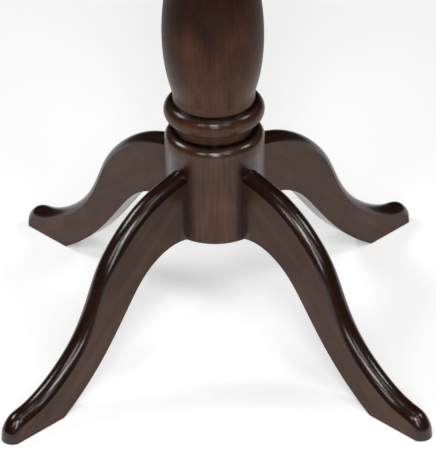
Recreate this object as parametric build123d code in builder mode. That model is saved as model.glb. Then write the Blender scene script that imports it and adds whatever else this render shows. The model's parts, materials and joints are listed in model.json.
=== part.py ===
from build123d import *
from math import cos, radians, sin, sqrt
import os

# Tilt top table: a round top that tips from level to upright on a turned pedestal with four curved legs.
# Frame: origin on the floor below the middle of the column, +X right, -Y front, +Z up. Millimetres.

os.makedirs("parts", exist_ok=True)

# ---- overall sizes ----
OVERALL_HEIGHT = 760
TOP_DIAMETER = 914
TOP_THICKNESS = 22
TOP_UNDERSIDE = OVERALL_HEIGHT - TOP_THICKNESS
TOP_RADIUS = TOP_DIAMETER / 2
EDGE_MOULDING_WIDTH = 16
EDGE_MOULDING_STEP = 2
EDGE_MOULDING_DROP = 13
EDGE_BEVEL_WIDTH = 7
EDGE_BEVEL_HEIGHT = 5

# ---- tilting joint: block on the column, battens under the top ----
BLOCK_WIDTH = 170
BLOCK_HEIGHT = 38
BLOCK_BOTTOM = TOP_UNDERSIDE - BLOCK_HEIGHT
PIVOT_Y = -56
PIVOT_Z = TOP_UNDERSIDE - BLOCK_HEIGHT / 2
PIVOT_TO_UNDERSIDE = TOP_UNDERSIDE - PIVOT_Z
STOP_GAP = 0.3
BLOCK_FRONT = PIVOT_Y - PIVOT_TO_UNDERSIDE + STOP_GAP
BLOCK_BACK = 75.3
BLOCK_SWING_RADIUS = 20
BLOCK_CORNER_RADIUS = 6
BATTEN_GAP = 2
BATTEN_WIDTH = 22
BATTEN_LENGTH = 660
BATTEN_INNER = BLOCK_WIDTH / 2 + BATTEN_GAP
BATTEN_OUTER = BATTEN_INNER + BATTEN_WIDTH
BATTEN_CENTRE = (BATTEN_INNER + BATTEN_OUTER) / 2
BATTEN_END_BEVEL = 60
BATTEN_END_HEIGHT = 16
BATTEN_EDGE_BEVEL = 1.5

# ---- column and hub ----
COLUMN_TOP = BLOCK_BOTTOM
HUB_RADIUS = 60
HUB_BOTTOM = 153.4
HUB_TOP = 281.3
HUB_SHOULDER = 11
HUB_EDGE_BEVEL = 1
HUB_CAVITY_RADIUS = 34
HUB_CAVITY_TOP = 247
TENON_RADIUS = 23
TENON_LENGTH = 18
BORE_RADIUS = 6
# Outlines of the turned column, each point a radius and a height, from the top down.
COLLAR_RADIUS = 50
COLLAR_BOTTOM = 674
COVE_ARC = [(48, 672), (38, 662), (34, 638)]
STEP_RADIUS = 36
BEAD_ARC = [(STEP_RADIUS, 634), (44, 621), (STEP_RADIUS, 608)]
BAND_RADIUS = 49.2
VASE_CURVE = [(32, 604), (35.8, 560), (52.3, 480), (60, 404), (54.1, 350), (BAND_RADIUS, 331)]
RING_ARC = [(BAND_RADIUS, 320.8), (60.3, 307), (49.5, 294.2)]
NECK_ARC = [RING_ARC[-1], (47.8, 287.5), (47, HUB_TOP)]

# ---- legs and glides ----
LEG_ANGLES = {"back_right": 45, "back_left": 135, "front_left": 225, "front_right": 315}
LEG_THICKNESS = 27
LEG_CROWN_DEPTH = 9.5
LEG_ROOT = 56
SOLE_Z = 1.2
# Outline of a leg in its own upright plane: distance out from the column's axis, height.
LEG_CREST = [
    (LEG_ROOT, 246), (112, 231.5), (168, 194), (192, 165), (212, 126), (236, 89),
    (264, 63), (292, 45), (318, 35), (338, 28.5), (348, 17), (351.5, SOLE_Z),
]
LEG_CREST_ENDS = [(1, -0.18), (0.15, -1)]
LEG_UNDERSIDE = [
    (269, SOLE_Z), (243, 19), (196, 62.5), (158, 109), (131, 138.5), (86, 158.5), (LEG_ROOT, 155),
]
# The shaper that crowns the crest runs past both ends, takes off a skim and is wider than the leg.
SHAPER_OVERRUN = 6
SHAPER_SKIM = 0.3
SHAPER_HALF_WIDTH = LEG_THICKNESS / 2 + 0.8
SHAPER_HEIGHT = 3
GLIDE_REACH = 311
GLIDE_RADIUS = 9
GLIDE_HEIGHT = 5
GLIDE_RECESS_GAP = 0.3
GLIDE_BEVEL = 1
GLIDE_NAIL_RADIUS = 1.5
GLIDE_NAIL_TOP = 18

# ---- leg bolts: M8 hanger bolts with washers and nuts inside the hub ----
LEG_BOLT_HEIGHTS = (180, 222)
LEG_BOLT_RADIUS = 4
LEG_BOLT_HOLE_RADIUS = 4.3
LEG_BOLT_START = 25.5
LEG_BOLT_END = 96
SPOT_FACE_RADIUS = 10
SPOT_FACE_REACH = 35.5
LEG_WASHER_RADIUS = 9
LEG_WASHER_THICKNESS = 1.6
LEG_NUT_ACROSS_FLATS = 13
LEG_NUT_THICKNESS = 6.5
LEG_NUT_REACH = SPOT_FACE_REACH - LEG_WASHER_THICKNESS - LEG_NUT_THICKNESS
ROD_END_BEVEL = 1

# ---- tie rod: M10 studding that clamps hub, column and block together ----
ROD_RADIUS = 5
ROD_BOTTOM = 229
ROD_TOP = 736
ROD_NUT_ACROSS_FLATS = 17
ROD_NUT_THICKNESS = 8
LOWER_WASHER_RADIUS = 25
UPPER_WASHER_RADIUS = 15
ROD_WASHER_THICKNESS = 3
ROD_WASHER_HOLE_RADIUS = 5.3
ROD_POCKET_RADIUS = 17
ROD_POCKET_DEPTH = 14

# ---- dowels that stop the turned pieces twisting ----
DOWEL_RADIUS = 4
DOWEL_LENGTH = 30
BLOCK_DOWEL_REACH = 32
HUB_DOWEL_REACH = 36

# ---- pivots: shoulder bolts in brass inserts, bushes in the battens ----
SHOULDER_RADIUS = 5
PIVOT_THREAD_RADIUS = 4
PIVOT_THREAD_LENGTH = 20
INSERT_RADIUS = 6.5
INSERT_LENGTH = 25
BUSH_BORE_RADIUS = 5.05
BUSH_RADIUS = 7
BUSH_FLANGE_RADIUS = 10
BUSH_FLANGE_THICKNESS = 1.7
SIDE_GAP = 0.3
PIVOT_WASHER_THICKNESS = 1.5
PIVOT_HEAD_RADIUS = 8
PIVOT_HEAD_THICKNESS = 5
PIVOT_HEAD_BEVEL = 0.8
SHOULDER_LENGTH = BATTEN_OUTER + SIDE_GAP + PIVOT_WASHER_THICKNESS - BLOCK_WIDTH / 2
HEX_SOCKET_ACROSS_FLATS = 6
HEX_SOCKET_DEPTH = 3

# ---- batten screws ----
BATTEN_SCREW_Y = (-280, -140, 120, 280)
BATTEN_SCREW_LENGTH = 37
SCREW_SLOT = 0.9
BATTEN_SCREW_RADIUS = 2.1
BATTEN_SCREW_HEAD_RADIUS = 4.3
BATTEN_SCREW_HEAD_HEIGHT = 2.8
BATTEN_POCKET_RADIUS = 5
BATTEN_POCKET_DEPTH = 15

# ---- brass catch: a sliding bolt behind the block that locks the top level ----
CATCH_Z = 727
CATCH_PLATE_FRONT = 79
CATCH_PLATE_LENGTH = 46
CATCH_PLATE_WIDTH = 44
CATCH_PLATE_THICKNESS = 2
CATCH_PLATE_BOTTOM = TOP_UNDERSIDE - CATCH_PLATE_THICKNESS
CATCH_HOUSING_WIDTH = 16
CATCH_HOUSING_BOTTOM = 719
CATCH_HOUSING_ROUND = 3
CATCH_TRAVEL = 12
CATCH_BOLT_RADIUS = 4
CATCH_BORE_RADIUS = 4.08
CATCH_BOLT_LENGTH = 40
CATCH_BOLT_SETBACK = 0.3
CATCH_BOLT_BEVEL = 0.8
CATCH_KNOB_Y = CATCH_PLATE_FRONT + 23
KNOB_STEM_RADIUS = 2.5
KNOB_STEM_TOP = CATCH_Z
KNOB_SLOT_GAP = 0.2
# Outline of the round grip, each point a radius and a height, from its neck down to its end.
KNOB_CURVE = [(3.5, 716), (6.5, 710.5), (3, 705)]
KNOB_END = 704.5
CATCH_SCREW_X = 15
CATCH_SCREW_INSET = 7
CATCH_SCREW_LENGTH = 12
SMALL_SCREW_RADIUS = 1.75
SMALL_SCREW_HEAD_RADIUS = 3.2
SMALL_SCREW_HEAD_HEIGHT = 1.6
KEEPER_WIDTH = 36
KEEPER_HEIGHT = 20
KEEPER_THICKNESS = 2
KEEPER_HOLE_RADIUS = 4.6
KEEPER_SCREW_X = 12
KEEPER_SCREW_LENGTH = 14
KEEPER_POCKET_DEPTH = 10
TAPER_SHARE = 3


def save(piece, name):
    """Label a finished piece and write it as its own STEP file."""
    piece.label = name
    export_step(piece, f"parts/{name}.step")


def leg_plane(angle):
    """Upright plane through the column's axis: local x runs outwards, local y runs up."""
    outward = (cos(radians(angle)), sin(radians(angle)), 0)
    sideways = (sin(radians(angle)), -cos(radians(angle)), 0)
    return Plane(origin=(0, 0, 0), x_dir=outward, z_dir=sideways)


def leg_bolt_plane(angle, height, reach):
    """Plane square to a leg bolt, facing outwards, at a given reach from the column's axis."""
    outward = Vector(cos(radians(angle)), sin(radians(angle)), 0)
    return Plane(origin=outward * reach + Vector(0, 0, height), x_dir=(0, 0, 1), z_dir=outward)


def leg_bolt_planes(reach):
    """One plane for each of the eight leg bolts."""
    return [
        leg_bolt_plane(angle, height, reach)
        for angle in LEG_ANGLES.values() for height in LEG_BOLT_HEIGHTS
    ]


def side_plane(side, x):
    """Plane square to the pivot line at a distance x from the middle, facing away from the block."""
    return Plane(origin=(side * x, PIVOT_Y, PIVOT_Z), x_dir=(0, side, 0), z_dir=(side, 0, 0))


def make_screw(shank_radius, head_radius, head_height, length):
    """Round-head slotted wood screw at the origin: head below the XY plane, shank and point above it."""
    point_length = TAPER_SHARE * shank_radius
    with BuildPart() as screw:
        with BuildSketch(Plane.XZ):
            with BuildLine():
                head_top = Line((0, -head_height), (head_radius / 2, -head_height))
                TangentArc(head_top @ 1, (head_radius, 0), tangent=(1, 0))
                Polyline(
                    (head_radius, 0), (shank_radius, 0), (shank_radius, length - point_length), (0, length)
                )
                Line((0, length), head_top @ 0)
            make_face()
        revolve(axis=Axis.Z)
        with BuildSketch(Plane.XY.offset(-head_height)):
            Rectangle(2 * head_radius, SCREW_SLOT)
        extrude(amount=head_height / 2, mode=Mode.SUBTRACT)
    return screw.part


def drill(planes, radius, depth):
    """Cut straight holes into the part under construction, from each plane along its normal."""
    with BuildSketch(*planes) as outline:
        Circle(radius)
    extrude(outline.sketch, amount=depth, mode=Mode.SUBTRACT)


def ring_solids(planes, outer_radius, inner_radius, thickness):
    """Add a flat ring (a washer) standing on each plane."""
    with BuildSketch(*planes) as outline:
        Circle(outer_radius)
        Circle(inner_radius, mode=Mode.SUBTRACT)
    extrude(outline.sketch, amount=thickness)


def hex_nuts(planes, across_flats, hole_radius, thickness):
    """Add a hexagonal nut standing on each plane."""
    with BuildSketch(*planes) as outline:
        RegularPolygon(radius=across_flats / 2, side_count=6, major_radius=False)
        Circle(hole_radius, mode=Mode.SUBTRACT)
    extrude(outline.sketch, amount=thickness)


# ---- legs: sawn from thick boards, the crest and the nose shaped to a round crown ----
def shape_crown(plane):
    """Round the crest of the leg under construction with a shaper that follows the crest's line."""
    half_width = LEG_THICKNESS / 2
    crown_radius = (half_width**2 + LEG_CROWN_DEPTH**2) / (2 * LEG_CROWN_DEPTH)
    shaper_side = sqrt(crown_radius**2 - SHAPER_HALF_WIDTH**2) - crown_radius - SHAPER_SKIM
    with BuildLine(plane) as path:
        crest = Spline(*LEG_CREST, tangents=LEG_CREST_ENDS)
        Line(crest @ 0 - (crest % 0) * SHAPER_OVERRUN, crest @ 0)
        Line(crest @ 1, crest @ 1 + (crest % 1) * SHAPER_OVERRUN)
    route = path.wire()
    # Local x runs down into the leg and local y runs across it.
    section_plane = Plane(origin=route @ 0, x_dir=(route % 0).cross(plane.z_dir), z_dir=route % 0)
    with BuildSketch(section_plane) as section:
        with BuildLine():
            crown = ThreePointArc(
                (-shaper_side, -SHAPER_HALF_WIDTH), (SHAPER_SKIM, 0), (-shaper_side, SHAPER_HALF_WIDTH)
            )
            Polyline(
                crown @ 1, (-SHAPER_HEIGHT, SHAPER_HALF_WIDTH),
                (-SHAPER_HEIGHT, -SHAPER_HALF_WIDTH), crown @ 0,
            )
        make_face()
    sweep(section.sketch, path=route, mode=Mode.SUBTRACT)


def make_leg(angle):
    """One curved leg, standing out from the hub at the given angle."""
    outward_planes = [leg_bolt_plane(angle, height, LEG_ROOT) for height in LEG_BOLT_HEIGHTS]
    foot = Vector(cos(radians(angle)), sin(radians(angle)), 0) * GLIDE_REACH
    with BuildPart() as leg:
        with BuildSketch(leg_plane(angle)):
            with BuildLine():
                crest = Spline(*LEG_CREST, tangents=LEG_CREST_ENDS)
                underside = Spline(*LEG_UNDERSIDE)
                Line(crest @ 1, underside @ 0)
                Line(underside @ 1, crest @ 0)
            make_face()
        extrude(amount=LEG_THICKNESS / 2, both=True)
        shape_crown(leg_plane(angle))
        drill(outward_planes, LEG_BOLT_RADIUS, LEG_BOLT_END - LEG_ROOT)
        sole = Plane(origin=(foot.X, foot.Y, SOLE_Z))
        drill([sole], GLIDE_RADIUS + GLIDE_RECESS_GAP, GLIDE_HEIGHT - SOLE_Z)
        drill([sole], GLIDE_NAIL_RADIUS, GLIDE_NAIL_TOP - SOLE_Z)
    return leg.part


def make_glide(angle):
    """Nylon floor glide with a moulded-in nail, under the toe of the leg at the given angle."""
    foot = Vector(cos(radians(angle)), sin(radians(angle)), 0) * GLIDE_REACH
    with BuildPart() as glide:
        with BuildSketch(Plane(origin=foot)):
            Circle(GLIDE_RADIUS)
        extrude(amount=GLIDE_HEIGHT)
        chamfer(glide.edges().sort_by(Axis.Z)[0], length=GLIDE_BEVEL)
        with BuildSketch(Plane(origin=foot + Vector(0, 0, GLIDE_HEIGHT))):
            Circle(GLIDE_NAIL_RADIUS)
        extrude(amount=GLIDE_NAIL_TOP - GLIDE_HEIGHT)
    return glide.part


legs = {corner: make_leg(angle) for corner, angle in LEG_ANGLES.items()}
for corner, angle in LEG_ANGLES.items():
    save(legs[corner], f"leg_{corner}")
    save(make_glide(angle), f"glide_{corner}")

# ---- hub: turned barrel that the legs are housed into, hollow below for the leg nuts ----
with BuildPart() as hub:
    with BuildSketch(Plane.XY.offset(HUB_BOTTOM)):
        Circle(HUB_RADIUS)
    extrude(amount=HUB_TOP - HUB_BOTTOM)
    fillet(hub.edges().sort_by(Axis.Z)[-1], radius=HUB_SHOULDER)
    chamfer(hub.edges().sort_by(Axis.Z)[0], length=HUB_EDGE_BEVEL)
    drill([Plane.XY.offset(HUB_BOTTOM)], HUB_CAVITY_RADIUS, HUB_CAVITY_TOP - HUB_BOTTOM)
    drill([Plane.XY.offset(HUB_TOP - TENON_LENGTH)], TENON_RADIUS, TENON_LENGTH)
    drill([Plane.XY.offset(HUB_CAVITY_TOP)], BORE_RADIUS, HUB_TOP - HUB_CAVITY_TOP)
    for leg_solid in legs.values():
        add(leg_solid, mode=Mode.SUBTRACT)
    drill(leg_bolt_planes(0), SPOT_FACE_RADIUS, SPOT_FACE_REACH)
    drill(leg_bolt_planes(0), LEG_BOLT_HOLE_RADIUS, HUB_RADIUS)
    with BuildSketch(Plane.XY.offset(HUB_TOP)):
        with Locations((HUB_DOWEL_REACH, 0), (-HUB_DOWEL_REACH, 0)):
            Circle(DOWEL_RADIUS)
    extrude(amount=-DOWEL_LENGTH / 2, mode=Mode.SUBTRACT)
save(hub.part, "hub")

# ---- column: turned vase shape with a tenon below and a flared collar under the block ----
with BuildPart() as column:
    with BuildSketch(Plane.XZ):
        with BuildLine():
            Polyline(
                NECK_ARC[-1], (TENON_RADIUS, HUB_TOP), (TENON_RADIUS, HUB_TOP - TENON_LENGTH),
                (BORE_RADIUS, HUB_TOP - TENON_LENGTH), (BORE_RADIUS, COLUMN_TOP), (COLLAR_RADIUS, COLUMN_TOP),
                (COLLAR_RADIUS, COLLAR_BOTTOM), COVE_ARC[0],
            )
            # Cove below the collar, then a bead between two small steps.
            ThreePointArc(*COVE_ARC)
            Polyline(COVE_ARC[-1], (STEP_RADIUS, COVE_ARC[-1][1]), BEAD_ARC[0])
            ThreePointArc(*BEAD_ARC)
            Polyline(BEAD_ARC[-1], (STEP_RADIUS, VASE_CURVE[0][1]), VASE_CURVE[0])
            # Long vase swelling from the slim neck to the bulb, narrowing again to its band.
            Spline(*VASE_CURVE, tangents=[(0, -1), (-1, -4)])
            Line(VASE_CURVE[-1], RING_ARC[0])
            # Ring, and the hollow neck that stands on the hub.
            ThreePointArc(*RING_ARC)
            ThreePointArc(*NECK_ARC)
        make_face()
    revolve(axis=Axis.Z)
    with BuildSketch(Plane.XY.offset(HUB_TOP)):
        with Locations((HUB_DOWEL_REACH, 0), (-HUB_DOWEL_REACH, 0)):
            Circle(DOWEL_RADIUS)
    extrude(amount=DOWEL_LENGTH / 2, mode=Mode.SUBTRACT)
    with BuildSketch(Plane.XY.offset(COLUMN_TOP)):
        with Locations((BLOCK_DOWEL_REACH, 0), (-BLOCK_DOWEL_REACH, 0)):
            Circle(DOWEL_RADIUS)
    extrude(amount=-DOWEL_LENGTH / 2, mode=Mode.SUBTRACT)
save(column.part, "column")

# ---- tilt block: carries the pivots, its square front stops the top upright ----
side_faces = [side_plane(side, BLOCK_WIDTH / 2) for side in (-1, 1)]
back_face = Plane(origin=(0, BLOCK_BACK, CATCH_Z), x_dir=(1, 0, 0), z_dir=(0, -1, 0))
with BuildPart() as tilt_block:
    with BuildSketch(Plane.XY.offset(BLOCK_BOTTOM)):
        with Locations((0, (BLOCK_FRONT + BLOCK_BACK) / 2)):
            Rectangle(BLOCK_WIDTH, BLOCK_BACK - BLOCK_FRONT)
    extrude(amount=BLOCK_HEIGHT)
    upper_edges = tilt_block.edges().filter_by(Axis.X).group_by(Axis.Z)[-1]
    fillet(upper_edges.sort_by(Axis.Y)[0], radius=BLOCK_SWING_RADIUS)
    fillet(tilt_block.edges().filter_by(Axis.Z).group_by(Axis.Y)[-1], radius=BLOCK_CORNER_RADIUS)
    drill([Plane.XY.offset(BLOCK_BOTTOM)], BORE_RADIUS, BLOCK_HEIGHT)
    drill([Plane.XY.offset(TOP_UNDERSIDE - ROD_POCKET_DEPTH)], ROD_POCKET_RADIUS, ROD_POCKET_DEPTH)
    with BuildSketch(*side_faces):
        Circle(INSERT_RADIUS)
    extrude(amount=-INSERT_LENGTH, mode=Mode.SUBTRACT)
    with BuildSketch(back_face):
        Rectangle(KEEPER_WIDTH, KEEPER_HEIGHT)
    extrude(amount=KEEPER_THICKNESS, mode=Mode.SUBTRACT)
    drill([back_face], KEEPER_HOLE_RADIUS, KEEPER_THICKNESS + KEEPER_POCKET_DEPTH)
    with BuildSketch(back_face):
        with Locations((KEEPER_SCREW_X, 0), (-KEEPER_SCREW_X, 0)):
            Circle(SMALL_SCREW_RADIUS)
    extrude(amount=KEEPER_SCREW_LENGTH, mode=Mode.SUBTRACT)
    with BuildSketch(Plane.XY.offset(BLOCK_BOTTOM)):
        with Locations((BLOCK_DOWEL_REACH, 0), (-BLOCK_DOWEL_REACH, 0)):
            Circle(DOWEL_RADIUS)
    extrude(amount=DOWEL_LENGTH / 2, mode=Mode.SUBTRACT)
save(tilt_block.part, "tilt_block")

# ---- dowels ----
DOWEL_SETS = {"block_dowels": (COLUMN_TOP, BLOCK_DOWEL_REACH), "hub_dowels": (HUB_TOP, HUB_DOWEL_REACH)}
for name, (height, reach) in DOWEL_SETS.items():
    with BuildPart() as dowels:
        with BuildSketch(Plane.XY.offset(height)):
            with Locations((reach, 0), (-reach, 0)):
                Circle(DOWEL_RADIUS)
        extrude(amount=DOWEL_LENGTH / 2, both=True)
    save(dowels.part, name)

# ---- tie rod with its washers and nuts ----
with BuildPart() as tie_rod:
    with BuildSketch(Plane.XY.offset(ROD_BOTTOM)):
        Circle(ROD_RADIUS)
    extrude(amount=ROD_TOP - ROD_BOTTOM)
    chamfer(tie_rod.edges().filter_by(GeomType.CIRCLE), length=ROD_END_BEVEL)
save(tie_rod.part, "tie_rod")

lower_washer_plane = Plane.XY.offset(HUB_CAVITY_TOP - ROD_WASHER_THICKNESS)
upper_washer_plane = Plane.XY.offset(TOP_UNDERSIDE - ROD_POCKET_DEPTH)
with BuildPart() as tie_rod_washer_lower:
    ring_solids([lower_washer_plane], LOWER_WASHER_RADIUS, ROD_WASHER_HOLE_RADIUS, ROD_WASHER_THICKNESS)
save(tie_rod_washer_lower.part, "tie_rod_washer_lower")

with BuildPart() as tie_rod_washer_upper:
    ring_solids([upper_washer_plane], UPPER_WASHER_RADIUS, ROD_WASHER_HOLE_RADIUS, ROD_WASHER_THICKNESS)
save(tie_rod_washer_upper.part, "tie_rod_washer_upper")

with BuildPart() as tie_rod_nuts:
    hex_nuts(
        [lower_washer_plane.offset(-ROD_NUT_THICKNESS), upper_washer_plane.offset(ROD_WASHER_THICKNESS)],
        ROD_NUT_ACROSS_FLATS, ROD_RADIUS, ROD_NUT_THICKNESS,
    )
save(tie_rod_nuts.part, "tie_rod_nuts")

# ---- leg bolts, washers and nuts, two of each per leg ----
with BuildPart() as leg_bolts:
    with BuildSketch(*leg_bolt_planes(LEG_BOLT_START)):
        Circle(LEG_BOLT_RADIUS)
    extrude(amount=LEG_BOLT_END - LEG_BOLT_START)
    chamfer(leg_bolts.edges().filter_by(GeomType.CIRCLE), length=ROD_END_BEVEL)
save(leg_bolts.part, "leg_bolts")

with BuildPart() as leg_bolt_washers:
    ring_solids(
        leg_bolt_planes(SPOT_FACE_REACH - LEG_WASHER_THICKNESS), LEG_WASHER_RADIUS, LEG_BOLT_HOLE_RADIUS,
        LEG_WASHER_THICKNESS,
    )
save(leg_bolt_washers.part, "leg_bolt_washers")

with BuildPart() as leg_bolt_nuts:
    hex_nuts(leg_bolt_planes(LEG_NUT_REACH), LEG_NUT_ACROSS_FLATS, LEG_BOLT_RADIUS, LEG_NUT_THICKNESS)
save(leg_bolt_nuts.part, "leg_bolt_nuts")

# ---- pivots and battens, one set on each side of the block ----
batten_screw = make_screw(
    BATTEN_SCREW_RADIUS, BATTEN_SCREW_HEAD_RADIUS, BATTEN_SCREW_HEAD_HEIGHT, BATTEN_SCREW_LENGTH
)
batten_screw_planes = [
    Plane(origin=(side * BATTEN_CENTRE, y, BLOCK_BOTTOM + BATTEN_POCKET_DEPTH))
    for side in (-1, 1) for y in BATTEN_SCREW_Y
]


def make_batten(side):
    """Batten screwed under the top, with bevelled ends, a bush hole and pockets for its screws."""
    end = BATTEN_LENGTH / 2
    with BuildPart() as batten:
        with BuildSketch(Plane(origin=(side * BATTEN_INNER, 0, 0), x_dir=(0, 1, 0), z_dir=(1, 0, 0))):
            with BuildLine():
                Polyline(
                    (-end, TOP_UNDERSIDE), (-end, TOP_UNDERSIDE - BATTEN_END_HEIGHT),
                    (BATTEN_END_BEVEL - end, BLOCK_BOTTOM), (end - BATTEN_END_BEVEL, BLOCK_BOTTOM),
                    (end, TOP_UNDERSIDE - BATTEN_END_HEIGHT), (end, TOP_UNDERSIDE), close=True,
                )
            make_face()
        extrude(amount=side * BATTEN_WIDTH)
        lower_edges = batten.edges().filter_by(Axis.Y).group_by(Axis.Z)[0]
        chamfer(lower_edges, length=BATTEN_EDGE_BEVEL)
        drill([side_plane(side, BATTEN_INNER)], BUSH_RADIUS, BATTEN_WIDTH)
        drill(batten_screw_planes, BATTEN_SCREW_RADIUS, BLOCK_HEIGHT)
        with BuildSketch(*batten_screw_planes):
            Circle(BATTEN_POCKET_RADIUS)
        extrude(amount=-BATTEN_POCKET_DEPTH, mode=Mode.SUBTRACT)
    return batten.part


for side, hand in ((-1, "left"), (1, "right")):
    save(make_batten(side), f"batten_{hand}")

    with BuildPart() as pivot_insert:
        ring_solids(
            [side_plane(side, BLOCK_WIDTH / 2 - INSERT_LENGTH)],
            INSERT_RADIUS, PIVOT_THREAD_RADIUS, INSERT_LENGTH,
        )
    save(pivot_insert.part, f"pivot_insert_{hand}")

    with BuildPart() as pivot_bolt:
        with BuildSketch(side_plane(side, BLOCK_WIDTH / 2)):
            Circle(PIVOT_THREAD_RADIUS)
        extrude(amount=-PIVOT_THREAD_LENGTH)
        with BuildSketch(side_plane(side, BLOCK_WIDTH / 2)):
            Circle(SHOULDER_RADIUS)
        extrude(amount=SHOULDER_LENGTH)
        with BuildSketch(side_plane(side, BLOCK_WIDTH / 2 + SHOULDER_LENGTH)):
            Circle(PIVOT_HEAD_RADIUS)
        extrude(amount=PIVOT_HEAD_THICKNESS)
        outer_edge = pivot_bolt.edges().filter_by(GeomType.CIRCLE).sort_by(Axis.X)[-1 if side > 0 else 0]
        chamfer(outer_edge, length=PIVOT_HEAD_BEVEL)
        with BuildSketch(side_plane(side, BLOCK_WIDTH / 2 + SHOULDER_LENGTH + PIVOT_HEAD_THICKNESS)):
            RegularPolygon(radius=HEX_SOCKET_ACROSS_FLATS / 2, side_count=6, major_radius=False)
        extrude(amount=-HEX_SOCKET_DEPTH, mode=Mode.SUBTRACT)
    save(pivot_bolt.part, f"pivot_bolt_{hand}")

    with BuildPart() as pivot_washer:
        ring_solids(
            [side_plane(side, BATTEN_OUTER + SIDE_GAP)],
            BUSH_FLANGE_RADIUS, BUSH_BORE_RADIUS, PIVOT_WASHER_THICKNESS,
        )
    save(pivot_washer.part, f"pivot_washer_{hand}")

    with BuildPart() as pivot_bush:
        ring_solids([side_plane(side, BATTEN_INNER)], BUSH_RADIUS, BUSH_BORE_RADIUS, BATTEN_WIDTH)
        ring_solids(
            [side_plane(side, BATTEN_INNER - BUSH_FLANGE_THICKNESS)], BUSH_FLANGE_RADIUS, BUSH_BORE_RADIUS,
            BUSH_FLANGE_THICKNESS,
        )
    save(pivot_bush.part, f"pivot_bush_{hand}")

with BuildPart() as batten_screws:
    with Locations(*batten_screw_planes):
        add(batten_screw)
save(batten_screws.part, "batten_screws")

# ---- catch on the underside of the top, behind the block ----
small_screw = make_screw(
    SMALL_SCREW_RADIUS, SMALL_SCREW_HEAD_RADIUS, SMALL_SCREW_HEAD_HEIGHT, CATCH_SCREW_LENGTH
)
keeper_screw = make_screw(
    SMALL_SCREW_RADIUS, SMALL_SCREW_HEAD_RADIUS, SMALL_SCREW_HEAD_HEIGHT, KEEPER_SCREW_LENGTH
)
catch_front = Plane(origin=(0, CATCH_PLATE_FRONT, 0), x_dir=(-1, 0, 0), z_dir=(0, 1, 0))
catch_bore_plane = Plane(origin=(0, CATCH_PLATE_FRONT, CATCH_Z), x_dir=(-1, 0, 0), z_dir=(0, 1, 0))
catch_screw_planes = [
    Plane(origin=(x, CATCH_PLATE_FRONT + inset, CATCH_PLATE_BOTTOM))
    for x in (-CATCH_SCREW_X, CATCH_SCREW_X)
    for inset in (CATCH_SCREW_INSET, CATCH_PLATE_LENGTH - CATCH_SCREW_INSET)
]
with BuildPart() as catch_plate:
    with BuildSketch(catch_front):
        with Locations((0, TOP_UNDERSIDE - CATCH_PLATE_THICKNESS / 2)):
            Rectangle(CATCH_PLATE_WIDTH, CATCH_PLATE_THICKNESS)
    extrude(amount=CATCH_PLATE_LENGTH)
    with BuildSketch(catch_front):
        with Locations((0, (CATCH_HOUSING_BOTTOM + CATCH_PLATE_BOTTOM) / 2)):
            Rectangle(CATCH_HOUSING_WIDTH, CATCH_PLATE_BOTTOM - CATCH_HOUSING_BOTTOM)
    extrude(amount=CATCH_PLATE_LENGTH)
    fillet(catch_plate.edges().filter_by(Axis.Y).group_by(Axis.Z)[0], radius=CATCH_HOUSING_ROUND)
    drill([catch_bore_plane], CATCH_BORE_RADIUS, CATCH_BOLT_LENGTH + CATCH_PLATE_THICKNESS)
    with BuildSketch(Plane.XY.offset(CATCH_HOUSING_BOTTOM)):
        with Locations((0, CATCH_KNOB_Y - CATCH_TRAVEL / 2)):
            SlotCenterToCenter(
                CATCH_TRAVEL, 2 * (KNOB_STEM_RADIUS + KNOB_SLOT_GAP), rotation=90
            )
    extrude(amount=CATCH_Z - CATCH_HOUSING_BOTTOM, mode=Mode.SUBTRACT)
    drill(catch_screw_planes, SMALL_SCREW_RADIUS, CATCH_PLATE_THICKNESS)
save(catch_plate.part, "catch_plate")

with BuildPart() as catch_screws:
    with Locations(*catch_screw_planes):
        add(small_screw)
save(catch_screws.part, "catch_screws")

with BuildPart() as catch_bolt:
    with BuildSketch(catch_bore_plane.offset(CATCH_BOLT_SETBACK)):
        Circle(CATCH_BOLT_RADIUS)
    extrude(amount=CATCH_BOLT_LENGTH)
    chamfer(catch_bolt.edges().filter_by(GeomType.CIRCLE), length=CATCH_BOLT_BEVEL)
    stem_plane = Plane(origin=(0, CATCH_KNOB_Y, CATCH_HOUSING_BOTTOM))
    drill([stem_plane], KNOB_STEM_RADIUS, CATCH_Z - CATCH_HOUSING_BOTTOM)
save(catch_bolt.part, "catch_bolt")

with BuildPart() as catch_knob:
    with BuildSketch(Plane(origin=(0, CATCH_KNOB_Y, 0), x_dir=(1, 0, 0), z_dir=(0, -1, 0))):
        with BuildLine():
            ThreePointArc(*KNOB_CURVE)
            Polyline(
                KNOB_CURVE[-1], (0, KNOB_END), (0, KNOB_STEM_TOP), (KNOB_STEM_RADIUS, KNOB_STEM_TOP),
                (KNOB_STEM_RADIUS, KNOB_CURVE[0][1]), KNOB_CURVE[0],
            )
        make_face()
    revolve(axis=Axis((0, CATCH_KNOB_Y, 0), (0, 0, 1)))
save(catch_knob.part, "catch_knob")

with BuildPart() as catch_keeper:
    with BuildSketch(back_face):
        Rectangle(KEEPER_WIDTH, KEEPER_HEIGHT)
        Circle(KEEPER_HOLE_RADIUS, mode=Mode.SUBTRACT)
        with Locations((KEEPER_SCREW_X, 0), (-KEEPER_SCREW_X, 0)):
            Circle(SMALL_SCREW_RADIUS, mode=Mode.SUBTRACT)
    extrude(amount=KEEPER_THICKNESS)
save(catch_keeper.part, "catch_keeper")

with BuildPart() as keeper_screws:
    with Locations(*[back_face * Location((x, 0, 0)) for x in (-KEEPER_SCREW_X, KEEPER_SCREW_X)]):
        add(keeper_screw)
save(keeper_screws.part, "keeper_screws")

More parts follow.
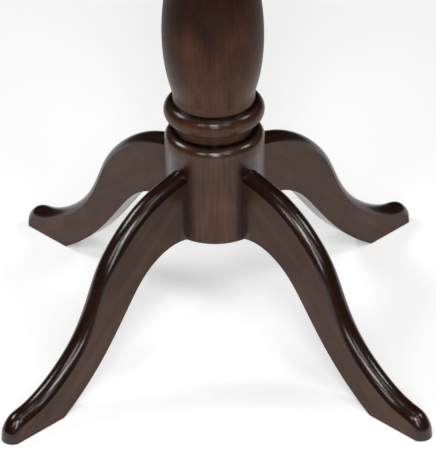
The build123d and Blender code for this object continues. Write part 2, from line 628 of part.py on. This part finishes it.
# ---- top: round, with a stepped thumb moulding and a bevelled lower edge ----
moulding_start = TOP_RADIUS - EDGE_MOULDING_WIDTH
with BuildPart() as tabletop:
    with BuildSketch(Plane.XZ):
        with BuildLine():
            step = Polyline(
                (TOP_RADIUS - EDGE_BEVEL_WIDTH, TOP_UNDERSIDE), (0, TOP_UNDERSIDE), (0, OVERALL_HEIGHT),
                (moulding_start, OVERALL_HEIGHT), (moulding_start, OVERALL_HEIGHT - EDGE_MOULDING_STEP),
            )
            EllipticalCenterArc(
                (moulding_start, OVERALL_HEIGHT - EDGE_MOULDING_DROP), EDGE_MOULDING_WIDTH,
                EDGE_MOULDING_DROP - EDGE_MOULDING_STEP, start_angle=0, arc_size=90,
            )
            Polyline(
                (TOP_RADIUS, OVERALL_HEIGHT - EDGE_MOULDING_DROP),
                (TOP_RADIUS, TOP_UNDERSIDE + EDGE_BEVEL_HEIGHT),
                (TOP_RADIUS - EDGE_BEVEL_WIDTH, TOP_UNDERSIDE),
            )
        make_face()
    revolve(axis=Axis.Z)
    drill(batten_screw_planes, BATTEN_SCREW_RADIUS, BATTEN_SCREW_LENGTH)
    drill(catch_screw_planes, SMALL_SCREW_RADIUS, CATCH_SCREW_LENGTH)
save(tabletop.part, "tabletop")
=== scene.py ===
import json
from math import atan2, cos, pi, radians, sin, tan

import bpy
from mathutils import Matrix, Vector


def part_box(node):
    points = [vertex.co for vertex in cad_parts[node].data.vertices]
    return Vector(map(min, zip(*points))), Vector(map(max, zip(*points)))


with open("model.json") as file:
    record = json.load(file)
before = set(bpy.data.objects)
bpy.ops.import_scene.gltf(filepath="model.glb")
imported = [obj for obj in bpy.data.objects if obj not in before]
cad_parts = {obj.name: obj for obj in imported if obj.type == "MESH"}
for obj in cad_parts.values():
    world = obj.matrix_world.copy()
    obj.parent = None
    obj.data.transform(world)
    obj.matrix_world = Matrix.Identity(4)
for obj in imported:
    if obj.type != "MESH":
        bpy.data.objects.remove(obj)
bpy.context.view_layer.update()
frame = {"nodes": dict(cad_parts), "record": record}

# Tilt top table: finishes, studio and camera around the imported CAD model. Metres, row frame.

NODES = frame["nodes"]
BODY_NODES = frame["record"]["behaviour"]["bodies"]

# ---------------------------------------------------------------- sizes taken from the frame
HUB_TOP = Vector(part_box("hub")[1]).z

# ---------------------------------------------------------------- camera
CAMERA_PLACE = Vector((0.0407, -2.7250, 1.8348))
CAMERA_HEADING = 0.01414      # turned to the left of +Y, radians
CAMERA_DROP = 0.55913         # looking down, radians
CAMERA_ROLL = -0.01656
FOCAL_PIXELS = 2631.24
IMAGE_HEIGHT = 470
SENSOR = 36.0                 # millimetres
CLIP_NEAR = 0.05
CLIP_FAR = 60


def make_camera():
    """Camera at the reference viewing angle, with no shift and no depth of field."""
    data = bpy.data.cameras.new("studio_camera")
    data.sensor_fit = "VERTICAL"
    data.sensor_height = SENSOR
    data.lens = FOCAL_PIXELS / IMAGE_HEIGHT * SENSOR
    data.clip_start = CLIP_NEAR
    data.clip_end = CLIP_FAR
    camera = bpy.data.objects.new("studio_camera", data)
    bpy.context.scene.collection.objects.link(camera)
    forward = Vector((
        -sin(CAMERA_HEADING) * cos(CAMERA_DROP), cos(CAMERA_HEADING) * cos(CAMERA_DROP), -sin(CAMERA_DROP)
    ))
    level_right = Vector((cos(CAMERA_HEADING), sin(CAMERA_HEADING), 0))
    level_up = level_right.cross(forward)
    right = cos(CAMERA_ROLL) * level_right + sin(CAMERA_ROLL) * level_up
    up = -sin(CAMERA_ROLL) * level_right + cos(CAMERA_ROLL) * level_up
    turn = Matrix((right, up, -forward)).transposed().to_4x4()
    camera.matrix_world = Matrix.Translation(CAMERA_PLACE) @ turn
    bpy.context.scene.camera = camera


# ---------------------------------------------------------------- material helpers
class Shader:
    """A new node material with short calls for the nodes that the finishes share."""

    def __init__(self, name):
        self.material = bpy.data.materials.new(name)
        self.material.use_nodes = True
        self.tree = self.material.node_tree
        self.tree.nodes.clear()
        self.output = self.tree.nodes.new("ShaderNodeOutputMaterial")
        self.surface = self.tree.nodes.new("ShaderNodeBsdfPrincipled")
        self.join(self.surface.outputs["BSDF"], self.output.inputs["Surface"])

    def join(self, source, target):
        self.tree.links.new(source, target)

    def feed(self, socket, value):
        """Link an output into a socket, or set the socket to a constant."""
        if isinstance(value, bpy.types.NodeSocket):
            self.join(value, socket)
        else:
            socket.default_value = value

    def coordinates(self):
        return self.tree.nodes.new("ShaderNodeTexCoord").outputs["Object"]

    def mapping(self, vector, scale=(1, 1, 1), turn=(0, 0, 0), move=(0, 0, 0)):
        node = self.tree.nodes.new("ShaderNodeMapping")
        self.feed(node.inputs["Vector"], vector)
        node.inputs["Scale"].default_value = scale
        node.inputs["Rotation"].default_value = turn
        node.inputs["Location"].default_value = move
        return node.outputs["Vector"]

    def noise(self, vector, scale, detail, roughness=0.55, distortion=0.0):
        node = self.tree.nodes.new("ShaderNodeTexNoise")
        self.feed(node.inputs["Vector"], vector)
        node.inputs["Scale"].default_value = scale
        node.inputs["Detail"].default_value = detail
        node.inputs["Roughness"].default_value = roughness
        node.inputs["Distortion"].default_value = distortion
        return node.outputs["Fac"]

    def streaks(self, vector, scales, **look):
        """Noise with a scale of its own along each axis."""
        return self.noise(self.mapping(vector, scale=scales), 1.0, **look)

    def rings(self, vector, scale, distortion, detail, detail_scale):
        node = self.tree.nodes.new("ShaderNodeTexWave")
        node.wave_type = "RINGS"
        node.rings_direction = "X"
        node.wave_profile = "SAW"
        self.feed(node.inputs["Vector"], vector)
        node.inputs["Scale"].default_value = scale
        node.inputs["Distortion"].default_value = distortion
        node.inputs["Detail"].default_value = detail
        node.inputs["Detail Scale"].default_value = detail_scale
        return node.outputs["Fac"]

    def math(self, operation, first, second=0.0):
        node = self.tree.nodes.new("ShaderNodeMath")
        node.operation = operation
        self.feed(node.inputs[0], first)
        self.feed(node.inputs[1], second)
        return node.outputs["Value"]

    def weighted(self, *terms):
        """Sum of (value, weight) terms."""
        products = [self.math("MULTIPLY", value, weight) for value, weight in terms]
        total = products[0]
        for product in products[1:]:
            total = self.math("ADD", total, product)
        return total

    def spread(self, value, low, high, new_low=0.0, new_high=1.0):
        """Remap a value from one range to another, smoothly and clamped."""
        node = self.tree.nodes.new("ShaderNodeMapRange")
        node.interpolation_type = "SMOOTHSTEP"
        self.feed(node.inputs["Value"], value)
        node.inputs["From Min"].default_value = low
        node.inputs["From Max"].default_value = high
        node.inputs["To Min"].default_value = new_low
        node.inputs["To Max"].default_value = new_high
        return node.outputs["Result"]

    def blend_colours(self, factor, first, second, mode="MIX"):
        node = self.tree.nodes.new("ShaderNodeMix")
        node.data_type = "RGBA"
        node.blend_type = mode
        self.feed(node.inputs["Factor"], factor)
        self.feed(node.inputs[6], first)
        self.feed(node.inputs[7], second)
        return node.outputs[2]

    def ramp(self, value, stops):
        node = self.tree.nodes.new("ShaderNodeValToRGB")
        self.feed(node.inputs["Fac"], value)
        ends = node.color_ramp.elements
        while len(ends) < len(stops):
            ends.new(0.5)
        for element, (place, colour) in zip(ends, stops):
            element.position = place
            element.color = (*colour, 1)
        return node.outputs["Color"]

    def bump(self, height, distance, strength, under=None):
        node = self.tree.nodes.new("ShaderNodeBump")
        self.feed(node.inputs["Height"], height)
        node.inputs["Distance"].default_value = distance
        node.inputs["Strength"].default_value = strength
        if under is not None:
            self.join(under, node.inputs["Normal"])
        return node.outputs["Normal"]

    def separate(self, vector):
        node = self.tree.nodes.new("ShaderNodeSeparateXYZ")
        self.feed(node.inputs["Vector"], vector)
        return node.outputs

    def set(self, **values):
        """Set Principled sockets by name, with spaces written as underscores."""
        for name, value in values.items():
            self.feed(self.surface.inputs[name.replace("_", " ")], value)


# ---------------------------------------------------------------- colours and lacquer of the wood
STAIN_DARK = (0.017, 0.0072, 0.0042)
STAIN_MID = (0.052, 0.0228, 0.0127)
STAIN_LIGHT = (0.084, 0.0410, 0.0250)
# Near black painted shade for the grooves and joints.
RECESS_SHADE = (0.0020, 0.0017, 0.0014)
GLAZE_AND_SHADE = (0.24, 0.11, 0.06)              # what a darker, redder glaze with painted shade on worked edges, upward faces and in corners lets through
HUB_TINT = (1.42, 1.55, 1.70)           # paler and greyer than the legs
COLUMN_TINT = (1.05, 0.98, 0.88)        # slightly warmer than the legs
LACQUER = 0.38                          # coat weight on plain wood
LACQUER_ROUGHNESS = 0.19
LACQUER_IOR = 1.46
COLUMN_GLAZE_AND_SHADE_LACQUER = 0.60            # coat weight where the column's glaze and painted shade are full
BEARER_GLOSS = 0.5                      # share of the lacquer on the wood under the top
VASE_SHADE_COAT = 0.16                        # share of the lacquer left high on the vase, less reflection as painted shade
VASE_SHADE_HEIGHTS = (0.325, 0.420)           # heights on the vase where this painted shade starts and is full
WOOD_SPECULAR = 0.06
WOOD_ROUGHNESS = (0.40, 0.54)

# ---------------------------------------------------------------- pattern of the wood
MIDDLE_OF_NOISE = (0.3, 0.7)            # range that most noise values lie in
RING_STRETCH = (0.35, 1, 1)
RING_SCALE = 58
FIGURE_SCALES = (5, 48, 48)             # along the grain and twice across it, as in the next two
FIBRE_SCALES = (22, 620, 620)
PORE_SCALES = (60, 1500, 1500)
PORE_THRESHOLD = (0.60, 0.72)
PORE_DEPTH = 0.35
BLOTCH_SCALE = 17
CLOUD_SCALE = 5.5
FILM_SCALE = 110                        # unevenness of the lacquer film
TONE_RANGE = (0.40, 0.92)
BOARD_WIDTH = 0.152                     # boards that the top is glued from
BOARD_SHIFT_ALONG = 0.737               # how far the pattern jumps from board to board
BOARD_SHIFT_ACROSS = 0.0413

# ---------------------------------------------------------------- where glaze and painted shade lie
# Fades of the glaze and painted shade: where it starts, where it is full, share at the start, share where
# full.
LEG_CREST_FADE = (0.985, 0.92, 0, 1)        # painted shade on the rounded crest, by how squarely the surface faces along the leg's thickness
LEG_CORNER_FADE = (0.080, 0.064, 0, 0.8)    # painted shade in the corner with the hub, by distance from the column's axis
HUB_SHOULDER_FADE = (0.05, 0.55, 0, 0.65)   # painted shade on the shoulder, by how far the surface faces up
HUB_CORNER_FADE = (0.66, 0.90, 0, 1)        # painted shade in the corners with the legs, by nearness to a leg, which is 1 in line with it
HUB_CORNER_TOP_FADE = (0.276, 0.248, 0, 1)  # painted shade in those corners, by height, below the legs' crests
COLUMN_UPWARD_FADE = (0.20, 0.75, 0, 0.7)   # painted shade on upward faces, by how far the surface faces up
VASE_FADE = (0.350, 0.475, 0, 0.9)          # painted shade of the top over the upper vase, by height
VASE_PATCH_SCALE = 30
VASE_PATCH_RISE = 0.13                      # how far patches raise or lower the edge of the vase's painted shade
GLAZE_AND_SHADE_PATCHES = (0.25, 0.60, 0.80, 1)  # by blotch: share of the glaze and painted shade that is kept
GLAZE_AND_SHADE_LACQUER_FADE = (0.05, 0.65)          # share of glaze and painted shade over which the lacquer reaches its weight there
RECESS_CORE = 0.25                          # share of a recess's half width that has its full painted shade
# Painted shade in the groove round the hub's top: height above the hub, half width, depth of tone.
HUB_TOP_GROOVE = (0, 0.0008, 0.95)
# Grooves of the column with painted shade in them: height above the hub, half width, depth of tone.
COLUMN_GROOVES = (
    (0.0005, 0.0030, 0.95),     # joint with the hub
    (0.0129, 0.0008, 0.6),      # under the ring
    (0.0395, 0.0020, 0.9),      # over the ring
    (0.325, 0.003, 0.6),        # under the bead
    (0.355, 0.002, 0.6),        # over the bead
    (0.392, 0.003, 0.5),        # under the collar
)


UP = (0, 0, 1)


def normal_along(s, direction):
    """How far the model's own surface normal points along a direction, 1 to -1."""
    node = s.tree.nodes.new("ShaderNodeVectorMath")
    node.operation = "DOT_PRODUCT"
    s.join(s.tree.nodes.new("ShaderNodeTexCoord").outputs["Normal"], node.inputs[0])
    node.inputs[1].default_value = direction
    return node.outputs["Value"]


def radius_from_axis(s):
    """Distance from the column's axis."""
    parts = s.separate(s.coordinates())
    squares = [s.math("POWER", parts[axis], 2.0) for axis in ("X", "Y")]
    return s.math("SQRT", s.math("ADD", *squares))


def leg_glaze_and_shade(across):
    """Glaze and painted shade on a leg's rounded crest and in its corner with the hub. across is square to
    its flat sides.
    """
    def glaze_and_shade(s):
        crest = s.spread(s.math("ABSOLUTE", normal_along(s, across)), *LEG_CREST_FADE)
        corner = s.spread(radius_from_axis(s), *LEG_CORNER_FADE)
        return s.math("MAXIMUM", crest, corner)
    return glaze_and_shade


def hub_glaze_and_shade(s):
    """Glaze and painted shade on the hub's rounded shoulder and in its corners with the four legs."""
    parts = s.separate(s.coordinates())
    shoulder = s.spread(normal_along(s, UP), *HUB_SHOULDER_FADE)
    product = s.math("MULTIPLY", parts["X"], parts["Y"])
    diagonal = s.math("DIVIDE", product, s.math("POWER", radius_from_axis(s), 2.0))
    beside_leg = s.spread(s.math("ABSOLUTE", s.math("MULTIPLY", diagonal, 2.0)), *HUB_CORNER_FADE)
    below_crest = s.spread(parts["Z"], *HUB_CORNER_TOP_FADE)
    return s.math("MAXIMUM", shoulder, s.math("MULTIPLY", beside_leg, below_crest))


def column_glaze_and_shade(s):
    """Glaze and painted shade on the column's upward faces and, in soft patches, up its vase, where it
    stands for the top's shade.
    """
    height = s.separate(s.coordinates())["Z"]
    upward = s.spread(normal_along(s, UP), *COLUMN_UPWARD_FADE)
    noise = s.noise(s.coordinates(), VASE_PATCH_SCALE, detail=3)
    patches = s.math("MULTIPLY", s.math("SUBTRACT", noise, 0.5), VASE_PATCH_RISE)
    vase = s.spread(s.math("ADD", height, patches), *VASE_FADE)
    return s.math("MAXIMUM", upward, vase)


def glued_boards(s, grain, width):
    """Grain coordinates that jump from one edge-glued board to the next."""
    board = s.math("FLOOR", s.math("DIVIDE", s.separate(grain)["Y"], width))
    jump = s.tree.nodes.new("ShaderNodeCombineXYZ")
    s.feed(jump.inputs["X"], s.math("MULTIPLY", board, BOARD_SHIFT_ALONG))
    s.feed(jump.inputs["Z"], s.math("MULTIPLY", board, BOARD_SHIFT_ACROSS))
    shift = s.tree.nodes.new("ShaderNodeVectorMath")
    shift.operation = "ADD"
    s.join(grain, shift.inputs[0])
    s.join(jump.outputs["Vector"], shift.inputs[1])
    return shift.outputs["Vector"]


def paint_recess_shade(s, colour, recesses, blotches):
    """Painted shade in bands of (height, half width, depth of tone) whose edges wander with the blotches."""
    height = s.separate(s.coordinates())["Z"]
    for level, half_width, depth in recesses:
        off = s.math("ABSOLUTE", s.math("SUBTRACT", height, level))
        wander = s.math("MULTIPLY", s.math("SUBTRACT", blotches, 0.5), half_width)
        share = s.spread(s.math("ADD", off, wander), half_width, RECESS_CORE * half_width, 0, depth)
        colour = s.blend_colours(share, colour, (*RECESS_SHADE, 1))
    return colour


def stained_wood(
    name,
    turn,
    pith,
    gloss=1.0,
    board_width=None,
    recesses=(),
    tint=None,
    glaze_and_shade=None,
    glaze_and_shade_lacquer=1.0,
    shade_heights=None,
):
    """Dark stained, lacquered wood whose grain runs along X after the given turn.

    pith is where the middle of the growth rings lies in the turned frame, gloss the share of the
    lacquer and board_width the width of edge-glued boards, if any. recesses are bands of painted
    shade, as in paint_recess_shade. tint multiplies the stain. glaze_and_shade makes the share of the
    surface that keeps a darker, redder glaze with painted shade, and glaze_and_shade_lacquer is the
    lacquer's weight there. Between shade_heights the lacquer fades to a smaller share, so that the
    surface reflects less, as painted shade.
    """
    s = Shader(name)
    place = s.coordinates()
    grain = s.mapping(place, turn=turn, move=pith)
    if board_width:
        grain = glued_boards(s, grain, board_width)
    stretched = s.mapping(grain, scale=RING_STRETCH)
    rings = s.rings(stretched, RING_SCALE, distortion=5.0, detail=2.5, detail_scale=0.8)
    figure = s.streaks(grain, FIGURE_SCALES, detail=5, roughness=0.6, distortion=0.3)
    fibres = s.streaks(grain, FIBRE_SCALES, detail=4, roughness=0.65)
    pores = s.spread(s.streaks(grain, PORE_SCALES, detail=2), *PORE_THRESHOLD)
    blotches = s.noise(place, BLOTCH_SCALE, detail=3, roughness=0.5, distortion=0.4)
    clouds = s.noise(place, CLOUD_SCALE, detail=2)

    tone = s.weighted((figure, 0.40), (fibres, 0.25), (rings, 0.04), (blotches, 0.35), (clouds, 0.30))
    stops = ((0.0, STAIN_DARK), (0.5, STAIN_MID), (1.0, STAIN_LIGHT))
    colour = s.ramp(s.spread(tone, *TONE_RANGE), stops)
    colour = s.blend_colours(s.math("MULTIPLY", pores, PORE_DEPTH), colour, (*STAIN_DARK, 1))
    if tint:
        colour = s.blend_colours(1.0, colour, (*tint, 1), mode="MULTIPLY")
    coat = LACQUER * gloss
    # Painted shade: a darker, redder glaze multiplied into the stain over its mask, with the lacquer
    # following it.
    if glaze_and_shade:
        share = s.math("MULTIPLY", glaze_and_shade(s), s.spread(blotches, *GLAZE_AND_SHADE_PATCHES))
        colour = s.blend_colours(share, colour, (*GLAZE_AND_SHADE, 1), mode="MULTIPLY")
        coat = s.spread(share, *GLAZE_AND_SHADE_LACQUER_FADE, coat, glaze_and_shade_lacquer)
    # Painted shade: less lacquer higher up the vase, so that it reflects less.
    if shade_heights:
        coat = s.math("MULTIPLY", coat, s.spread(s.separate(place)["Z"], *shade_heights, 1, VASE_SHADE_COAT))
    # Painted shade: near black bands in the grooves.
    colour = paint_recess_shade(s, colour, recesses, blotches)

    fine = s.bump(fibres, distance=0.00012, strength=0.35)
    fine = s.bump(s.math("MULTIPLY", pores, -1), distance=0.00010, strength=0.5, under=fine)
    film = s.bump(s.noise(place, FILM_SCALE, detail=2), distance=0.00025, strength=0.05)
    rough = s.spread(s.weighted((fibres, 0.5), (clouds, 0.5)), *MIDDLE_OF_NOISE, *WOOD_ROUGHNESS)
    s.set(Base_Color=colour, Roughness=rough, Specular_IOR_Level=WOOD_SPECULAR, Normal=fine)
    s.set(Coat_Weight=coat, Coat_Roughness=LACQUER_ROUGHNESS, Coat_IOR=LACQUER_IOR, Coat_Normal=film)
    return s.material


# ---------------------------------------------------------------- dowels, metal and nylon
BEECH_LIGHT = (0.52, 0.36, 0.20)
BEECH_DARK = (0.36, 0.22, 0.11)
BRASS = (0.72, 0.50, 0.20)
BRASS_TARNISH = (0.30, 0.19, 0.075)
BRASS_ROUGHNESS = 0.24
ZINC = (0.62, 0.63, 0.64)
ZINC_TARNISH = (0.40, 0.40, 0.38)
ZINC_ROUGHNESS = 0.30
NYLON = (0.030, 0.022, 0.018)
NYLON_SCUFFED = (0.075, 0.062, 0.052)
TARNISH_RANGE = (0.38, 0.66)
CLOUDED_ROUGHNESS = 0.22                # how much rougher metal is where it is clouded
SCRATCHED_ROUGHNESS = 0.08
SPOTS_PER_CLOUD = 9


def bare_wood(name, turn, light, dark):
    """Unvarnished, lighter wood for dowels."""
    s = Shader(name)
    grain = s.mapping(s.coordinates(), turn=turn)
    fibres = s.streaks(grain, (30, 700, 700), detail=4)
    figure = s.streaks(grain, (6, 90, 90), detail=3)
    tone = s.weighted((fibres, 0.5), (figure, 0.5))
    s.set(Base_Color=s.ramp(s.spread(tone, *MIDDLE_OF_NOISE), ((0.0, dark), (1.0, light))))
    s.set(Roughness=s.spread(fibres, *MIDDLE_OF_NOISE, 0.55, 0.75))
    s.set(Normal=s.bump(fibres, distance=0.0002, strength=0.5))
    return s.material


def aged_metal(name, bright, tarnish, polish, wear_scale=55):
    """Metal with soft tarnish, fine scratches and uneven polish, whose roughness starts at polish."""
    s = Shader(name)
    place = s.coordinates()
    cloud = s.noise(place, wear_scale, detail=5, roughness=0.6)
    scratches = s.streaks(place, (260, 2400, 260), detail=2)
    spots = s.noise(place, wear_scale * SPOTS_PER_CLOUD, detail=3)
    mask = s.spread(s.weighted((cloud, 0.75), (spots, 0.25)), *TARNISH_RANGE)
    s.set(Base_Color=s.blend_colours(mask, (*bright, 1), (*tarnish, 1)))
    clouded = s.spread(cloud, *MIDDLE_OF_NOISE, polish, polish + CLOUDED_ROUGHNESS)
    s.set(Roughness=s.math("ADD", clouded, s.math("MULTIPLY", scratches, SCRATCHED_ROUGHNESS)))
    s.set(Normal=s.bump(scratches, distance=0.00004, strength=0.4), Metallic=1.0)
    return s.material


def nylon(name, colour, scuffed):
    """Moulded nylon with a faint moulded texture and scuffs."""
    s = Shader(name)
    place = s.coordinates()
    scuffs = s.spread(s.streaks(place, (90, 400, 90), detail=4), 0.55, 0.75)
    grainy = s.noise(place, 900, detail=2)
    s.set(Base_Color=s.blend_colours(scuffs, (*colour, 1), (*scuffed, 1)))
    s.set(Roughness=s.spread(grainy, *MIDDLE_OF_NOISE, 0.42, 0.60))
    s.set(Normal=s.bump(grainy, distance=0.00008, strength=0.5))
    return s.material


# ---------------------------------------------------------------- which piece has which finish
def finish(names, material):
    """Give CAD nodes a finish through their material slots."""
    for name in names:
        piece = NODES[name]
        if not piece.material_slots:
            piece.data.materials.append(None)
        for slot in piece.material_slots:
            slot.link = "OBJECT"
            slot.material = material


LEGS = ("leg_front_left", "leg_front_right", "leg_back_left", "leg_back_right")
LEG_PITH = (0, 0.06, 0.09)              # middle of the growth rings in the first leg's board
LEG_PITH_STEP = (0.31, 0.02, 0)         # how much further it lies for each next leg
SIDE_GRAIN = (0, 0, 0)                  # grain along X
UPRIGHT_GRAIN = (0, radians(90), 0)     # grain along Z
CROSS_GRAIN = (0, 0, radians(-90))      # grain along Y
LEG_GRAIN_DROP = radians(38)            # slope of the boards that the legs are sawn from


def leg_angle(name):
    """Direction in which a leg stands out from the column."""
    low, high = (Vector(corner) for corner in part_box(name))
    middle = (low + high) / 2
    return atan2(middle.y, middle.x)


def leg_across(name):
    """Direction square to a leg's flat sides."""
    angle = leg_angle(name)
    return (-sin(angle), cos(angle), 0)


def leg_grain(name):
    """Turn that brings a leg's sloping board direction onto X."""
    angle = leg_angle(name)
    turn = Matrix.Rotation(LEG_GRAIN_DROP, 3, "Y").inverted() @ Matrix.Rotation(-angle, 3, "Z")
    return tuple(turn.to_euler("XYZ"))


def finish_legs():
    for number, name in enumerate(LEGS):
        pith = tuple(start + number * step for start, step in zip(LEG_PITH, LEG_PITH_STEP))
        glaze_and_shade = leg_glaze_and_shade(leg_across(name))
        finish([name], stained_wood(f"leg_finish_{number + 1}", leg_grain(name), pith, glaze_and_shade=glaze_and_shade))


def hub_bands(grooves):
    """Grooves given above the hub's top as bands at their real heights."""
    return tuple((HUB_TOP + rise, half_width, depth) for rise, half_width, depth in grooves)


def finish_hub():
    material = stained_wood(
        "hub_finish",
        UPRIGHT_GRAIN,
        pith=(0.4, 0.08, 0.05),
        recesses=hub_bands([HUB_TOP_GROOVE]),
        tint=HUB_TINT,
        glaze_and_shade=hub_glaze_and_shade,
    )
    finish(["hub"], material)


def finish_column():
    material = stained_wood(
        "column_finish",
        UPRIGHT_GRAIN,
        pith=(1.7, 0.05, 0.09),
        recesses=hub_bands(COLUMN_GROOVES),
        tint=COLUMN_TINT,
        glaze_and_shade=column_glaze_and_shade,
        glaze_and_shade_lacquer=COLUMN_GLAZE_AND_SHADE_LACQUER,
        shade_heights=VASE_SHADE_HEIGHTS,
    )
    finish(["column"], material)


def finish_top():
    """The top and the wood that bears it."""
    finish(["tabletop"], stained_wood("top_finish", SIDE_GRAIN, (0.2, 0.5, 0.16), board_width=BOARD_WIDTH))
    bearers = (
        ("tilt_block", "block_finish", SIDE_GRAIN, (0.9, 0.1, 0.07)),
        ("batten_left", "batten_left_finish", CROSS_GRAIN, (0.1, 0.2, 0.08)),
        ("batten_right", "batten_right_finish", CROSS_GRAIN, (1.3, 0.4, 0.11)),
    )
    for name, label, turn, pith in bearers:
        finish([name], stained_wood(label, turn, pith, gloss=BEARER_GLOSS))


def finish_fittings():
    """Dowels, brass fittings, zinc plated fasteners and the nylon glides."""
    finish(["block_dowels", "hub_dowels"], bare_wood("beech", UPRIGHT_GRAIN, BEECH_LIGHT, BEECH_DARK))
    brass = aged_metal("aged_brass", BRASS, BRASS_TARNISH, BRASS_ROUGHNESS)
    zinc = aged_metal("zinc_plate", ZINC, ZINC_TARNISH, ZINC_ROUGHNESS, wear_scale=90)
    plastic = nylon("glide_nylon", NYLON, NYLON_SCUFFED)
    for name in NODES:
        if name.startswith("glide_"):
            finish([name], plastic)
        elif name.startswith(("catch_", "keeper_", "pivot_insert", "pivot_bush")):
            finish([name], brass)
        elif name.startswith(("tie_rod", "leg_bolt", "batten_screws", "pivot_bolt", "pivot_washer")):
            finish([name], zinc)


# ---------------------------------------------------------------- studio
FLOOR_RADIUS = 9.0
FLOOR_COLOUR = (0.86, 0.86, 0.865, 1)
FLOOR_GLOW = 0.39
WORLD_COLOUR = (0.95, 0.97, 1.0, 1)
WORLD_LEVEL = 0.01                      # as light and in reflections
WORLD_LEVEL_IN_VIEW = 0.95
LIGHT_DISTANCE = 3.0
LIGHT_TARGET = Vector((0, 0, 0.25))
# Heading from -Y towards +X, height above level, width and height seen from the pedestal, all in
# degrees, and radiance.
LIGHTS = {
    "key_light": (0, 45, 14, 18, 14.5),
    "side_light_left": (-111, 45, 20, 14, 10.5),
    "side_light_right": (95, 45, 14, 14, 9.5),
    "front_light_left": (-32, 40, 12, 18, 6.0),
    "front_light_right": (32, 40, 12, 18, 4.0),
    "low_light": (3, 24, 12, 16, 8.5),
    "high_light": (45, 62, 16, 14, 2.6),
    "overhead_light": (0, 85, 14, 14, 1.9),
}


def make_floor():
    """Large, pale, matt floor that glows faintly."""
    bpy.ops.mesh.primitive_circle_add(vertices=128, radius=FLOOR_RADIUS, fill_type="NGON")
    floor = bpy.context.object
    floor.name = "studio_floor"
    s = Shader("studio_floor_paint")
    s.set(Base_Color=FLOOR_COLOUR, Roughness=0.85, Specular_IOR_Level=0.2)
    s.set(Emission_Color=(1, 1, 1, 1), Emission_Strength=FLOOR_GLOW)
    floor.data.materials.append(s.material)


def studio_light(name, blockers, heading, height_angle, width_angle, tall_angle, glow):
    """Soft rectangular light aimed at the pedestal, with the measures that LIGHTS explains."""
    width = 2 * LIGHT_DISTANCE * tan(radians(width_angle / 2))
    tall = 2 * LIGHT_DISTANCE * tan(radians(tall_angle / 2))
    data = bpy.data.lights.new(name, "AREA")
    data.shape = "RECTANGLE"
    data.size = width
    data.size_y = tall
    data.energy = glow * pi * width * tall
    light = bpy.data.objects.new(name, data)
    turn, lift = radians(heading), radians(height_angle)
    out = Vector((sin(turn) * cos(lift), -cos(turn) * cos(lift), sin(lift)))
    light.location = LIGHT_TARGET + out * LIGHT_DISTANCE
    light.rotation_euler = out.to_track_quat("Z", "Y").to_euler()
    light.visible_camera = False
    bpy.context.scene.collection.objects.link(light)
    light.light_linking.blocker_collection = blockers


def make_blockers():
    """Collection that lets the pedestal's lights pass through the top, as if they stood below it."""
    group = bpy.data.collections.new("top_passes_light")
    for name in BODY_NODES["top"] + BODY_NODES["catch"]:
        group.objects.link(NODES[name])
    for child in group.collection_objects:
        child.light_linking.link_state = "EXCLUDE"
    return group


def make_world():
    """Dim soft surroundings for reflections, paler where the camera sees past the floor."""
    world = bpy.data.worlds.new("studio_world")
    world.use_nodes = True
    tree = world.node_tree
    background = tree.nodes["Background"]
    background.inputs["Color"].default_value = WORLD_COLOUR
    rays = tree.nodes.new("ShaderNodeLightPath")
    level = tree.nodes.new("ShaderNodeMapRange")
    tree.links.new(rays.outputs["Is Camera Ray"], level.inputs["Value"])
    level.inputs["To Min"].default_value = WORLD_LEVEL
    level.inputs["To Max"].default_value = WORLD_LEVEL_IN_VIEW
    tree.links.new(level.outputs["Result"], background.inputs["Strength"])
    bpy.context.scene.world = world


make_camera()
finish_legs()
finish_hub()
finish_column()
finish_top()
finish_fittings()
top_passes_light = make_blockers()
make_floor()
make_world()
for light_name, measures in LIGHTS.items():
    studio_light(light_name, top_passes_light, *measures)

bpy.context.scene.view_settings.view_transform = "Standard"
